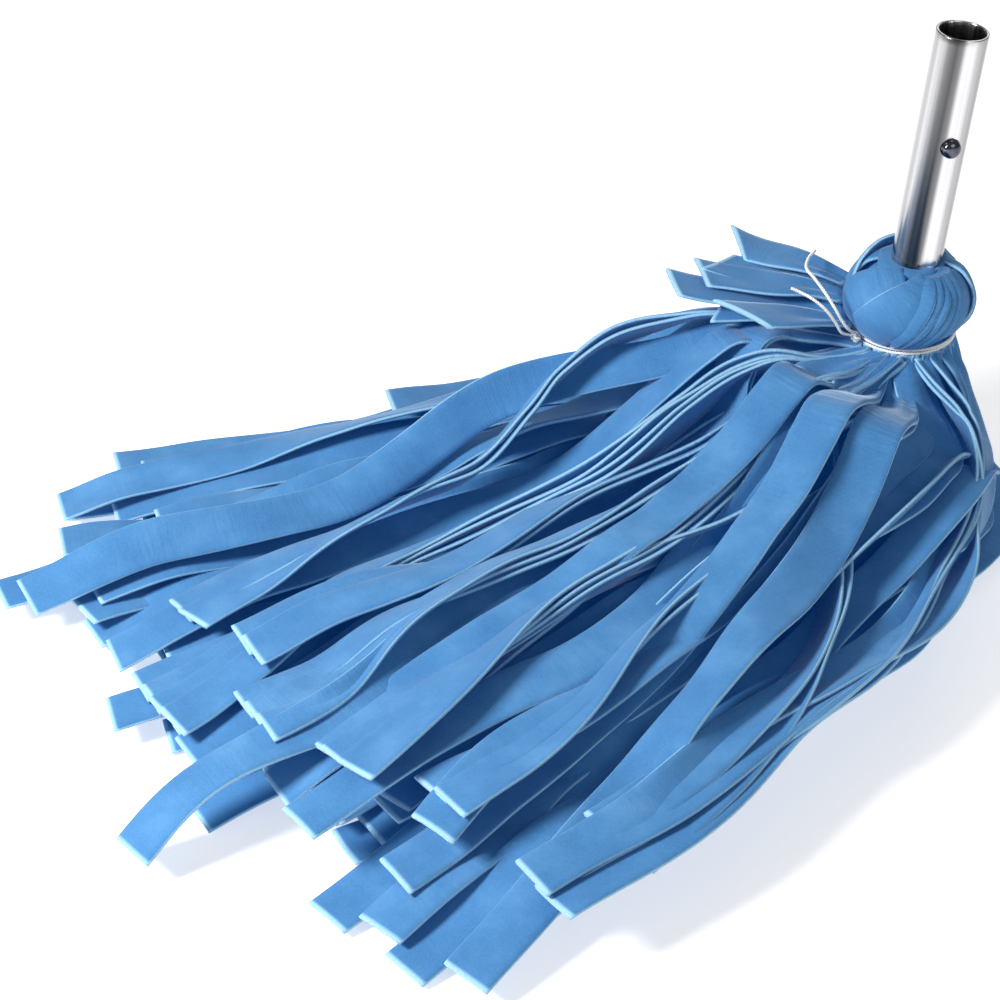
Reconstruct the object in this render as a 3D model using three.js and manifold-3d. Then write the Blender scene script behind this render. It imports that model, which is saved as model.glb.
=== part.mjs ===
// Strip mop head: a short metal tube with a sprung snap button, and a skirt of flat nonwoven strips
// that are folded over the tube's lower end, tied twice and left to fan out over the floor.
// Units are millimetres. +Z is up and the skirt's lowest strips lie on z = 0.

import * as THREE from 'three';
import { mergeVertices } from 'three/addons/utils/BufferGeometryUtils.js';
import Module from 'manifold-3d';

// Driving dimensions
const STRIP = { width: 24, thickness: 2.2, segments: 20 };
const STRIP_GAP = 0.5;
const SETTLE_ROUNDS = 40;
const TUBE = { radius: 12.5, wall: 1.5, length: 155, lean: 4.5, footHeight: 100 };
const BUTTON = { radius: 4.6, standOut: 4.2, below: 54.5, azimuth: 282, clearance: 0.35 };
const LEAF = { width: 9, thickness: 0.8, drop: 46 };
const TWINE = 1.7;
const TIE_HEIGHT = 95;
const TIE_RADIUS = 26;
const WAIST = { radius: 23, centre: 66 };

// Colours
const CLOTH_BLUE = 0x4f93cf;
const METAL = 0xc4c8cc;
const DARK_STEEL = 0x4a4e54;
const TWINE_WHITE = 0xf0f0ea;

const wasm = await Module();
wasm.setup();

const mop = new THREE.Group();

function material(color, roughness, metalness) {
  return new THREE.MeshStandardMaterial({ color, roughness, metalness });
}

function addMesh(parent, name, geometry, color, roughness = 0.9, metalness = 0) {
  const mesh = new THREE.Mesh(geometry, material(color, roughness, metalness));
  mesh.name = name;
  parent.add(mesh);
  return mesh;
}

// ---------------------------------------------------------------------------------------------
// Solids and booleans

function toSolid(geometry) {
  const bare = geometry.clone();
  bare.deleteAttribute('normal');
  bare.deleteAttribute('uv');
  const merged = mergeVertices(bare, 1e-4);
  const vertProperties = new Float32Array(merged.attributes.position.array);
  const triVerts = new Uint32Array(merged.index.array);
  return new wasm.Manifold(new wasm.Mesh({ numProp: 3, vertProperties, triVerts }));
}

function toGeometry(solid) {
  const mesh = solid.getMesh();
  const geometry = new THREE.BufferGeometry();
  geometry.setAttribute('position', new THREE.BufferAttribute(new Float32Array(mesh.vertProperties), 3));
  geometry.setIndex(new THREE.BufferAttribute(new Uint32Array(mesh.triVerts), 1));
  return geometry;
}

function direction(azimuth, elevation = 0) {
  const a = THREE.MathUtils.degToRad(azimuth);
  const e = THREE.MathUtils.degToRad(elevation);
  return new THREE.Vector3(Math.cos(a) * Math.cos(e), Math.sin(a) * Math.cos(e), Math.sin(e));
}

function smoothStep(x) {
  const t = Math.min(Math.max(x, 0), 1);
  return t * t * (3 - 2 * t);
}

// Turns a lathe's +Y axis into +Z.
function lathe(profile, segments) {
  const points = profile.map(([r, z]) => new THREE.Vector2(r, z));
  return new THREE.LatheGeometry(points, segments).rotateX(Math.PI / 2);
}

// ---------------------------------------------------------------------------------------------
// Ribbons: a ribbon is a list of stations, each with a centre, a width direction and a normal.

function corner(station, side, face) {
  return station.centre.clone()
    .addScaledVector(station.across, side * station.width / 2)
    .addScaledVector(station.normal, face * (station.thickness ?? STRIP.thickness) / 2);
}

// Four corners of a station, in order round the section.
function section(station) {
  return [corner(station, -1, -1), corner(station, 1, -1), corner(station, 1, 1), corner(station, -1, 1)];
}

const SIDES = [[0, 1], [1, 2], [2, 3], [3, 0]];

function ribbonGeometry(stations) {
  const positions = [];
  stations.forEach((station) => section(station).forEach((p) => positions.push(p.x, p.y, p.z)));
  const index = [];
  const last = (stations.length - 1) * 4;
  for (let i = 0; i < stations.length - 1; i++) {
    for (const [a, b] of SIDES) {
      const near = i * 4;
      const far = near + 4;
      index.push(near + a, far + a, near + b, near + b, far + a, far + b);
    }
  }
  index.push(0, 1, 2, 0, 2, 3);
  index.push(last, last + 2, last + 1, last, last + 3, last + 2);
  const geometry = new THREE.BufferGeometry();
  geometry.setAttribute('position', new THREE.Float32BufferAttribute(positions, 3));
  geometry.setIndex(index);
  return outward(geometry);
}

// Flips every face of a closed geometry whose volume is negative.
function outward(geometry) {
  const p = geometry.attributes.position;
  const index = geometry.index.array;
  const [a, b, c] = [new THREE.Vector3(), new THREE.Vector3(), new THREE.Vector3()];
  let volume = 0;
  for (let i = 0; i < index.length; i += 3) {
    a.fromBufferAttribute(p, index[i]);
    b.fromBufferAttribute(p, index[i + 1]);
    c.fromBufferAttribute(p, index[i + 2]);
    volume += a.dot(b.cross(c));
  }
  if (volume < 0) {
    for (let i = 0; i < index.length; i += 3) [index[i + 1], index[i + 2]] = [index[i + 2], index[i + 1]];
  }
  return geometry;
}

// Stations crowd towards the start of a curve, where a strip bends most.
const STATION_CROWDING = 1.2;

// Stations along a smooth curve. roll turns the ribbon about its own line: 0 lies flat, 90 stands on edge.
function stationsAlong(points, count, widthAt, rollAt) {
  const stations = [];
  for (let i = 0; i <= count; i++) {
    const t = (i / count) ** STATION_CROWDING;
    const ahead = points(Math.min(t + 0.01, 1));
    const tangent = ahead.sub(points(Math.max(t - 0.01, 0))).normalize();
    const flat = new THREE.Vector3(-tangent.y, tangent.x, 0).normalize();
    const across = flat.applyAxisAngle(tangent, THREE.MathUtils.degToRad(rollAt(t)));
    const normal = new THREE.Vector3().crossVectors(tangent, across).normalize();
    stations.push({ centre: points(t), across, normal, width: widthAt(t) });
  }
  return stations;
}

// ---------------------------------------------------------------------------------------------
// The heap: strips are laid one after another on a height map of the ones already there.

const CELL = 1;
const HEAP = { left: -520, front: -460, columns: 700, rows: 640 };
const heapTop = new Float32Array(HEAP.columns * HEAP.rows);

// Calls visit(cell, z) for every cell under the triangle a, b, c.
function scanTriangle(a, b, c, visit) {
  const area = (b.x - a.x) * (c.y - a.y) - (c.x - a.x) * (b.y - a.y);
  if (Math.abs(area) < 1e-6) return;
  const zMin = Math.min(a.z, b.z, c.z);
  const zMax = Math.max(a.z, b.z, c.z);
  const col0 = Math.floor((Math.min(a.x, b.x, c.x) - HEAP.left) / CELL);
  const col1 = Math.ceil((Math.max(a.x, b.x, c.x) - HEAP.left) / CELL);
  const row0 = Math.floor((Math.min(a.y, b.y, c.y) - HEAP.front) / CELL);
  const row1 = Math.ceil((Math.max(a.y, b.y, c.y) - HEAP.front) / CELL);
  const reach = 0.75 * CELL;
  const edges = [[a, b], [b, c], [c, a]].map(([p, q]) => {
    const length = Math.hypot(q.x - p.x, q.y - p.y) * Math.sign(area);
    return { p, nx: -(q.y - p.y) / length, ny: (q.x - p.x) / length };
  });
  for (let row = row0; row <= row1; row++) {
    for (let col = col0; col <= col1; col++) {
      const x = HEAP.left + col * CELL;
      const y = HEAP.front + row * CELL;
      if (edges.some(({ p, nx, ny }) => (x - p.x) * nx + (y - p.y) * ny < -reach)) continue;
      const u = ((x - a.x) * (c.y - a.y) - (c.x - a.x) * (y - a.y)) / area;
      const v = ((b.x - a.x) * (y - a.y) - (x - a.x) * (b.y - a.y)) / area;
      const z = a.z + u * (b.z - a.z) + v * (c.z - a.z);
      visit(row * HEAP.columns + col, Math.min(Math.max(z, zMin), zMax));
    }
  }
}

// Calls visit(cell, z) for each face of the ribbon between stations i and i + 1.
function scanSegment(stations, i, visit) {
  const near = section(stations[i]);
  const far = section(stations[i + 1]);
  for (const [a, b] of SIDES) {
    scanTriangle(near[a], near[b], far[a], visit);
    scanTriangle(near[b], far[a], far[b], visit);
  }
}

function raiseHeap(stations) {
  for (let i = 0; i < stations.length - 1; i++) {
    scanSegment(stations, i, (cell, z) => {
      for (const step of [0, 1, -1, HEAP.columns, -HEAP.columns]) {
        heapTop[cell + step] = Math.max(heapTop[cell + step], z);
      }
    });
  }
}

// How far each station must rise for the ribbon to clear the heap.
function liftNeeded(stations) {
  const lift = stations.map((s) => Math.max(0, ...section(s).map((p) => -p.z)));
  for (let i = 0; i < stations.length - 1; i++) {
    const start = stations[i].centre;
    const step = stations[i + 1].centre.clone().sub(start).setZ(0);
    scanSegment(stations, i, (cell, z) => {
      const short = heapTop[cell] === 0 ? 0 : heapTop[cell] + STRIP_GAP - z;
      if (short <= 0) return;
      const x = HEAP.left + (cell % HEAP.columns) * CELL - start.x;
      const y = HEAP.front + Math.floor(cell / HEAP.columns) * CELL - start.y;
      const along = (x * step.x + y * step.y) / step.lengthSq();
      lift[i] = Math.max(lift[i], short * Math.min(1, 2 - 2 * along));
      lift[i + 1] = Math.max(lift[i + 1], short * Math.min(1, 2 * along));
    });
  }
  return lift;
}

const HUMP = 1.3;
const SAG = 1.2;

// A strip is held at the waist, so it can hardly rise there.
function liftLimit(station) {
  return 1 + 2.5 * station ** 2;
}

// The lowest smooth lift that is nowhere under the demand: rounded humps, with shallow sags between them.
function easeLift(demand) {
  const lift = demand.map((_, i) => {
    const hump = Math.max(...demand.map((d, j) => d - HUMP * (i - j) ** 2), 0);
    return Math.min(hump, liftLimit(i));
  });
  for (let sweep = 0; sweep < 12; sweep++) {
    for (let i = 1; i < lift.length - 1; i++) {
      lift[i] = Math.max(lift[i], (lift[i - 1] + lift[i + 1]) / 2 - SAG);
    }
  }
  return lift;
}

function layOnHeap(stations) {
  const bed = stations.map((s) => s.centre.z);
  const demand = stations.map(() => 0);
  for (let round = 0; round < SETTLE_ROUNDS; round++) {
    const needed = liftNeeded(stations);
    if (Math.max(...needed) < 0.02) break;
    const lift = easeLift(demand);
    needed.forEach((rise, i) => {
      if (rise > 0) demand[i] = Math.min(lift[i] + rise, liftLimit(i));
    });
    easeLift(demand).forEach((rise, i) => { stations[i].centre.z = bed[i] + rise; });
  }
  raiseHeap(stations);
}

// ---------------------------------------------------------------------------------------------
// Skirt strips

// The strips leave the waist in rings, the innermost ring first. Each ring runs from the back (first exit)
// round the trailing side to the right (last exit), and the strips that sweep furthest are laid first.
const RINGS = [
  { count: 9, exits: [105, 338], height: 42, reach: 385, fall: 30, trailFall: 40, maxRoll: 0 },
  { count: 9, exits: [105, 338], height: 53, reach: 405, fall: 33, trailFall: 95, maxRoll: 8 },
  { count: 10, exits: [112, 316], height: 64, reach: 425, fall: 42, trailFall: 155, maxRoll: 12 },
  { count: 7, exits: [134, 262], height: 70, reach: 440, fall: 54, trailFall: 200, maxRoll: 20 },
];
const KNEE = 50;
const NECK_CLEARANCE = 4.4;
const CURVE_STEPS = 80;
const TRAIL = 205;
const TIPS = { first: 182, last: 238 };

// A repeatable spread between -1 and 1, so that no two strips lie alike.
function spread(n, salt) {
  const x = Math.sin(n * 12.9898 + salt * 78.233) * 43758.5453;
  return 2 * (x - Math.floor(x)) - 1;
}

function cosine(degrees) {
  return Math.cos(THREE.MathUtils.degToRad(degrees));
}

function ringRows(ring, layer) {
  const rows = [];
  for (let i = 0; i < ring.count; i++) {
    const share = (i + 0.5 * (layer % 2)) / (ring.count - 0.5);
    const exit = THREE.MathUtils.lerp(...ring.exits, share);
    const tip = THREE.MathUtils.lerp(TIPS.first, TIPS.last, share) + 3 * spread(i, layer);
    const trailing = Math.max(0, cosine(exit - TRAIL));
    rows.push({
      layer,
      sector: THREE.MathUtils.degToRad(ring.exits[1] - ring.exits[0]) / (ring.count - 0.5),
      maxRoll: ring.maxRoll * (i % 2 ? 0.25 : 1),
      exit,
      height: ring.height + 10 * cosine(exit - TRAIL),
      tip,
      reach: ring.reach - 22 * share + 26 * spread(i, layer + 5),
      fall: ring.fall + ring.trailFall * trailing,
      swing: 45,
      end: tip + THREE.MathUtils.lerp(11, -12, share) + 6 * spread(i, layer + 7),
      wave: 6 * spread(i, layer + 9) * (1 - trailing),
    });
  }
  return rows.sort((a, b) => cosine(a.exit - TRAIL) - cosine(b.exit - TRAIL));
}

// A strip falls straight out from the waist as far as its knee, then bends round to its tip.
function skirtCurve(row) {
  const out = direction(row.exit);
  const start = out.clone().multiplyScalar(WAIST.radius + 3 + 1.2 * row.layer);
  const knee = out.clone().multiplyScalar(KNEE);
  const tip = direction(row.tip).multiplyScalar(row.reach);
  const bend = new THREE.CubicBezierCurve3(
    knee,
    knee.clone().addScaledVector(out, row.swing),
    tip.clone().addScaledVector(direction(row.end), -0.5 * row.reach),
    tip,
  );
  const straight = knee.distanceTo(start);
  const length = straight + bend.getLength();
  const points = [];
  for (let i = 0; i <= CURVE_STEPS; i++) {
    const run = (length * i) / CURVE_STEPS;
    const t = (run - straight) / (length - straight);
    const point = t < 0 ? start.clone().lerp(knee, run / straight) : bend.getPointAt(Math.min(t, 1));
    const along = t < 0 ? out : bend.getTangentAt(Math.min(t, 1));
    const sway = t < 0 ? 0 : row.wave * Math.sin(2 * Math.PI * 2 * t) * (1 - t);
    point.addScaledVector(new THREE.Vector3(-along.y, along.x, 0), sway);
    point.z = STRIP.thickness / 2 + row.height * (1 - smoothStep(run / row.fall));
    points.push(point);
  }
  const curve = new THREE.CatmullRomCurve3(points);
  return (t) => curve.getPointAt(t);
}

// A flat strip can only turn sideways by standing on its edge, so its roll follows the bend of its plan.
function bendRoll(curve, t, maxRoll) {
  const step = 0.06;
  const before = curve(Math.max(t - step, 0));
  const here = curve(t);
  const after = curve(Math.min(t + step, 1));
  const first = here.clone().sub(before).setZ(0);
  const second = after.clone().sub(here).setZ(0);
  const turn = Math.atan2(first.x * second.y - first.y * second.x, first.dot(second));
  const curvature = turn / Math.max((first.length() + second.length()) / 2, 1);
  return maxRoll * Math.tanh(curvature / 0.006);
}

function skirtStations(row) {
  const curve = skirtCurve(row);
  const widthAt = (t) => {
    const radius = curve(t).setZ(0).length();
    return Math.min(STRIP.width, row.sector * radius - NECK_CLEARANCE);
  };
  const rollAt = (t) => bendRoll(curve, t, row.maxRoll) * smoothStep(t * 6) * smoothStep((1 - t) * 2.5);
  return stationsAlong(curve, STRIP.segments, widthAt, rollAt);
}

function buildSkirt() {
  const rows = RINGS.flatMap(ringRows);
  rows.forEach((row, i) => {
    const stations = skirtStations(row);
    layOnHeap(stations);
    addMesh(mop, `skirt_strip_${String(i + 1).padStart(2, '0')}`, ribbonGeometry(stations), CLOTH_BLUE);
  });
}

// ---------------------------------------------------------------------------------------------
// Tube, snap button and leaf spring: built along +Z and leant as one group

const tubeFrame = new THREE.Group();
tubeFrame.position.z = TUBE.footHeight;
tubeFrame.rotation.y = THREE.MathUtils.degToRad(TUBE.lean);
tubeFrame.updateMatrixWorld();
mop.add(tubeFrame);

const BORE = TUBE.radius - TUBE.wall;
const BEAD = TUBE.radius + 1.2;
const BUTTON_HEIGHT = TUBE.length - BUTTON.below;
const FLANGE = { outer: 8.7, inner: 7.7, radius: 5.8 };

// Turns a +Z lathe so that it points out of the tube at the button's azimuth.
function towardsButton(geometry) {
  const turn = new THREE.Quaternion().setFromUnitVectors(new THREE.Vector3(0, 0, 1), direction(BUTTON.azimuth));
  return geometry.applyQuaternion(turn).translate(0, 0, BUTTON_HEIGHT);
}

function buildTube() {
  const profile = [
    [BORE, 0], [BEAD - 0.4, 0], [BEAD, 0.6], [BEAD, 1.8], [TUBE.radius, 3],
    [TUBE.radius, TUBE.length - 0.3], [TUBE.radius - 0.3, TUBE.length], [BORE, TUBE.length], [BORE, 0],
  ];
  const hole = BUTTON.radius + BUTTON.clearance;
  const drill = towardsButton(lathe([[0, 5], [hole, 5], [hole, 20], [0, 20]], 24));
  const wall = toSolid(lathe(profile, 36)).subtract(toSolid(drill));
  addMesh(tubeFrame, 'socket_tube', toGeometry(wall), METAL, 0.25, 1);
}

function buildButton() {
  const { radius, standOut } = BUTTON;
  const shoulder = TUBE.radius + standOut - radius * 0.55;
  const profile = [[0, FLANGE.inner], [FLANGE.radius, FLANGE.inner], [FLANGE.radius, FLANGE.outer],
    [radius, FLANGE.outer], [radius, shoulder]];
  for (const angle of [25, 50, 75]) {
    const a = THREE.MathUtils.degToRad(angle);
    profile.push([radius * Math.cos(a), shoulder + radius * 0.55 * Math.sin(a)]);
  }
  profile.push([0, TUBE.radius + standOut]);
  addMesh(tubeFrame, 'snap_button', towardsButton(lathe(profile, 24)), DARK_STEEL, 0.2, 1);
}

// A ribbon through points, all of one width and with one width direction.
function bandThrough(points, across, width, thickness) {
  return ribbonGeometry(points.map((centre, i) => {
    const ahead = points[Math.min(i + 1, points.length - 1)].clone();
    const tangent = ahead.sub(points[Math.max(i - 1, 0)]).normalize();
    const normal = new THREE.Vector3().crossVectors(tangent, across).normalize();
    return { centre, across, normal, width, thickness };
  }));
}

// The leaf is bent into a U: the front leg carries the button and the back leg bears on the bore.
function buildLeafSpring() {
  const out = direction(BUTTON.azimuth);
  const across = direction(BUTTON.azimuth + 90);
  const front = FLANGE.inner - 0.3 - LEAF.thickness / 2;
  const back = -Math.sqrt((BORE - 0.4) ** 2 - (LEAF.width / 2) ** 2) + LEAF.thickness / 2;
  const middle = (front + back) / 2;
  const radius = (front - back) / 2;
  const bendHeight = BUTTON_HEIGHT - LEAF.drop;
  const at = (x, z) => out.clone().multiplyScalar(x).setZ(z);
  const points = [at(front, BUTTON_HEIGHT + 7), at(front, BUTTON_HEIGHT - 12)];
  for (let angle = 0; angle <= 180; angle += 22.5) {
    const a = THREE.MathUtils.degToRad(angle);
    points.push(at(middle + radius * Math.cos(a), bendHeight - radius * Math.sin(a)));
  }
  points.push(at(back, BUTTON_HEIGHT + 7));
  addMesh(tubeFrame, 'leaf_spring', bandThrough(points, across, LEAF.width, LEAF.thickness), DARK_STEEL, 0.3, 1);
}

// ---------------------------------------------------------------------------------------------
// Inside the knot: the twine binding on the tube's foot, and the folded strips bound round it

const BINDING = { from: 4, turns: 5, inner: TUBE.radius + 0.3 };

function buildBinding() {
  const profile = [[BINDING.inner, BINDING.from]];
  for (let turn = 0; turn < BINDING.turns; turn++) {
    const base = BINDING.from + turn * TWINE;
    profile.push([BINDING.inner + 1.6, base + 0.2], [BINDING.inner + 2.2, base + TWINE / 2]);
  }
  profile.push([BINDING.inner + 1.6, BINDING.from + BINDING.turns * TWINE - 0.2]);
  profile.push([BINDING.inner, BINDING.from + BINDING.turns * TWINE], [BINDING.inner, BINDING.from]);
  addMesh(tubeFrame, 'inner_twine_binding', lathe(profile, 24), TWINE_WHITE);
}

// The room that the tube, its bead and the binding take up, leant like the tube.
function tubeRoom() {
  const bound = BINDING.inner + 2.2 + 0.5;
  const top = BINDING.from + BINDING.turns * TWINE + 0.5;
  const room = lathe([[0, -0.5], [bound, -0.5], [bound, top], [TUBE.radius + 0.4, top], [TUBE.radius + 0.4, 70],
    [0, 70]], 36);
  return toSolid(room.applyMatrix4(tubeFrame.matrixWorld));
}

// The waist is a ball centred on the tilt axis, so it turns without moving into the strips below it.
function buildFoldedBundle(room) {
  const profile = [];
  for (let angle = -90; angle <= 40; angle += 13) {
    const a = THREE.MathUtils.degToRad(angle);
    profile.push([WAIST.radius * Math.cos(a), WAIST.centre + WAIST.radius * Math.sin(a)]);
  }
  profile[0][0] = 0;
  profile.push([TIE_RADIUS - 1.4, TIE_HEIGHT - 4], [TIE_RADIUS - 1.4, TIE_HEIGHT + 1], [19.6, 98], [21.8, 105],
    [22.8, 110], [22.6, 115], [20.8, 121], [17.5, 125], [0, 125]);
  const bundle = toSolid(lathe(profile, 28)).subtract(room);
  addMesh(mop, 'folded_bundle', toGeometry(bundle), CLOTH_BLUE);
}

// ---------------------------------------------------------------------------------------------
// The round knot: four wraps of strip round the bundle, parted by narrow gaps

const KNOT_OUTSIDE = [[24.5, 97.6], [28, 102], [29.7, 110], [29.3, 118], [26.6, 126], [21.5, 132], [15.6, 135.5]];
const KNOT_INSIDE = [[15.6, 129.5], [18.8, 126.5], [22.4, 121.5], [23.8, 115], [23.6, 108], [21.2, 100.6]];
const WRAPS = [['knot_wrap_back', 30, 120], ['knot_wrap_left', 120, 215], ['knot_wrap_front', 215, 300],
  ['knot_wrap_right', 300, 390]];

// A tall wedge between two azimuths, pulled in by half a gap on each side.
function wedge(from, to) {
  const middle = direction((from + to) / 2);
  const gap = 0.2 / Math.sin(THREE.MathUtils.degToRad((to - from) / 2));
  const tip = new THREE.Vector2(middle.x * gap, middle.y * gap);
  const reach = (azimuth) => new THREE.Vector2(direction(azimuth).x * 90, direction(azimuth).y * 90).add(tip);
  const shape = new THREE.Shape([tip, reach(from), reach(to)]);
  return toSolid(new THREE.ExtrudeGeometry(shape, { depth: 80, bevelEnabled: false }).translate(0, 0, 80));
}

function buildKnot(room) {
  const ring = toSolid(lathe([...KNOT_OUTSIDE, ...KNOT_INSIDE, KNOT_OUTSIDE[0]], 40)).subtract(room);
  for (const [name, from, to] of WRAPS) {
    addMesh(mop, name, toGeometry(ring.intersect(wedge(from, to))), CLOTH_BLUE);
  }
}

// ---------------------------------------------------------------------------------------------
// Short strip ends that the tie holds at the knot's trailing side. They lie on each other like a
// fanned hand of cards: all rise alike with distance, each one ply above the last.

const SHORT_ENDS = [
  { azimuth: 178, reach: 117 },
  { azimuth: 196, reach: 88 },
  { azimuth: 166, reach: 96 },
  { azimuth: 173, reach: 103 },
  { azimuth: 152, reach: 92 },
];
const SHORT_START = { radius: 31.5, height: 99.5, spacing: 3.3, rise: 0.26 };

function buildShortEnds() {
  SHORT_ENDS.forEach(({ azimuth, reach }, ply) => {
    const stations = [];
    const steps = 5;
    for (let i = 0; i <= steps; i++) {
      const radius = THREE.MathUtils.lerp(SHORT_START.radius, reach, i / steps);
      const run = radius - SHORT_START.radius;
      const height = SHORT_START.height + ply * SHORT_START.spacing + SHORT_START.rise * run;
      const centre = direction(azimuth).multiplyScalar(radius).setZ(height);
      const across = direction(azimuth + 90);
      const tangent = direction(azimuth, THREE.MathUtils.radToDeg(Math.atan(SHORT_START.rise)));
      const normal = new THREE.Vector3().crossVectors(tangent, across).normalize();
      const width = THREE.MathUtils.lerp(11, STRIP.width, smoothStep(run / 40));
      stations.push({ centre, across, normal, width });
    }
    addMesh(mop, `short_end_${ply + 1}`, ribbonGeometry(stations), CLOTH_BLUE);
  });
}

// ---------------------------------------------------------------------------------------------
// Outer twine: a tie round the waist, its knot, and two loose tails that lie over the short ends

const TWINE_KNOT = { azimuth: 209, radius: 30.4, height: 97.8, size: 3.1 };
const TAIL_ROUTES = [
  [[-29.2, -16.3, 99.5], [-33.5, -18.5, 102], [-37.5, -19.5, 108.5], [-43, -19.5, 116], [-49, -17.5, 120.5],
    [-55, -15, 123], [-60, -14, 125]],
  [[-27.5, -17, 101.2], [-31, -19.5, 105], [-34.5, -20, 110], [-38, -19.5, 116], [-43, -13, 122], [-47, -3, 124],
    [-50, 9, 124], [-48, 17, 124.5], [-44, 24, 125]],
];

function twineSection() {
  const shape = new THREE.Shape();
  for (let i = 0; i < 8; i++) {
    const a = (Math.PI / 4) * i;
    const [x, y] = [TWINE / 2 * Math.cos(a), TWINE / 2 * Math.sin(a)];
    if (i) shape.lineTo(x, y);
    else shape.moveTo(x, y);
  }
  return shape;
}

function buildTwine() {
  const tie = new THREE.TorusGeometry(TIE_RADIUS, TWINE / 2, 8, 40).translate(0, 0, TIE_HEIGHT);
  addMesh(mop, 'twine_tie', tie, TWINE_WHITE);
  const { azimuth, radius, height, size } = TWINE_KNOT;
  const knot = new THREE.IcosahedronGeometry(size, 1);
  addMesh(mop, 'twine_knot', knot, TWINE_WHITE).position.copy(direction(azimuth).multiplyScalar(radius).setZ(height));
  TAIL_ROUTES.forEach((route, i) => {
    const path = new THREE.CatmullRomCurve3(route.map(([x, y, z]) => new THREE.Vector3(x, y, z)));
    const steps = Math.ceil(path.getLength() / (2.4 * TWINE));
    const tail = new THREE.ExtrudeGeometry(twineSection(), { steps, extrudePath: path, bevelEnabled: false });
    addMesh(mop, `twine_tail_${i + 1}`, tail, TWINE_WHITE);
  });
}

buildTube();
buildButton();
buildLeafSpring();
buildBinding();
const room = tubeRoom();
buildFoldedBundle(room);
buildKnot(room);
buildShortEnds();
buildTwine();
buildSkirt();

// The origin is the middle of the bounding box's base.
const bounds = new THREE.Box3().setFromObject(mop, true);
mop.position.set(-(bounds.min.x + bounds.max.x) / 2, -(bounds.min.y + bounds.max.y) / 2, -bounds.min.z);

export default mop;
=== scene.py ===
"""Strip mop head: cloth strips, a knot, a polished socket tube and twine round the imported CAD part."""

import itertools
import math
import random

import bmesh
import bpy
import numpy as np
from mathutils import Matrix, Vector


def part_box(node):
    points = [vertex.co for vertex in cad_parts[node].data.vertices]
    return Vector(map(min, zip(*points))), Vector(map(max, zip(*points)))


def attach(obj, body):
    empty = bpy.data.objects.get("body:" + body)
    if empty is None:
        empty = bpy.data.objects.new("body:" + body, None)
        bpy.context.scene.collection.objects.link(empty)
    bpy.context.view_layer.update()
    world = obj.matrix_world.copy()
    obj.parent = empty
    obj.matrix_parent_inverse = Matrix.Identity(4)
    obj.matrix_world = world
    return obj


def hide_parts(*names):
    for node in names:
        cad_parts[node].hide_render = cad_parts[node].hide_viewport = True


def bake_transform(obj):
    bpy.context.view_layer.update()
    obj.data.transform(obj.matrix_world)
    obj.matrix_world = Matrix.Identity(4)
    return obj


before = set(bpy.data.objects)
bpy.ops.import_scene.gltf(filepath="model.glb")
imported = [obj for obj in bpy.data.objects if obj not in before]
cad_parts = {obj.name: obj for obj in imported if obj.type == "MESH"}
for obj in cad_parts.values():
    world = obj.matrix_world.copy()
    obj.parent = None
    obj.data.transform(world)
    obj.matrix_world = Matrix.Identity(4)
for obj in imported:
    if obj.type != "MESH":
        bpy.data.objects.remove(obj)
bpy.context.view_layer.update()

MM = 0.001
UP = np.array([0.0, 0.0, 1.0])

# Sizes in millimetres, azimuths in degrees, and the lean in radians
STRIP_WIDTH = 24.0
PLY = 2.2
TUBE_LEAN = math.radians(4.5)
TUBE_FOOT = 100.0
TUBE_LENGTH = 155.0
TUBE_RADIUS = 12.5
BORE_RADIUS = 11.0
BEAD_RADIUS = 13.7
BUTTON_AZIMUTH = 282.0
BUTTON_HEIGHT = 100.5
BUTTON_RADIUS = 4.6
HOLE_RADIUS = 4.95

# The knot's axis on the floor. Lengths below are millimetres from this point, and place() turns them
# into metres.
_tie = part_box("twine_tie")
KNOT = np.array([(_tie[0].x + _tie[1].x) / 2, (_tie[0].y + _tie[1].y) / 2, 0.0]) / MM


def place(points):
    """Points in millimetres from the knot's axis, as metres in the row frame."""
    return (np.asarray(points, float) + KNOT) * MM


def unplace(points):
    return np.asarray(points, float) / MM - KNOT


def direction(azimuth):
    a = math.radians(azimuth)
    return np.array([math.cos(a), math.sin(a), 0.0])


def unit(v):
    v = np.asarray(v, float)
    return v / np.maximum(np.linalg.norm(v, axis=-1, keepdims=True), 1e-12)


def heading(line):
    """The direction of travel at each point of a line."""
    return unit(np.gradient(line, axis=0))


def exit_of(line):
    """The azimuth of a line's first point, seen from the knot's axis."""
    return math.degrees(math.atan2(line[0, 1], line[0, 0]))


def smooth(t):
    t = np.clip(t, 0.0, 1.0)
    return t * t * (3 - 2 * t)


def add_object(name, data):
    thing = bpy.data.objects.new(name, data)
    bpy.context.scene.collection.objects.link(thing)
    return thing


# ---- Camera, floor and lights

CAMERA_PLACE = [-203, -1023.8, 705]
CAMERA_PITCH = 35
LENS = 85

# The floor's half width, and how far it lies under the strips, in metres
FLOOR_HALF = 16.0
FLOOR_DROP = 0.0004


def make_camera():
    data = bpy.data.cameras.new("camera")
    data.lens = LENS
    data.sensor_width = 36
    data.clip_end = 60
    camera = add_object("camera", data)
    camera.location = place(CAMERA_PLACE)
    camera.rotation_euler = (math.radians(90 - CAMERA_PITCH), 0, 0)
    bpy.context.scene.camera = camera


def area_light(name, place_mm, target_mm, size, power):
    data = bpy.data.lights.new(name, "AREA")
    data.shape = "DISK"
    data.size = size
    data.energy = power
    light = add_object(name, data)
    light.location = place(place_mm)
    aim = Vector(place(target_mm)) - light.location
    light.rotation_euler = aim.to_track_quat("-Z", "Y").to_euler()


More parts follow.
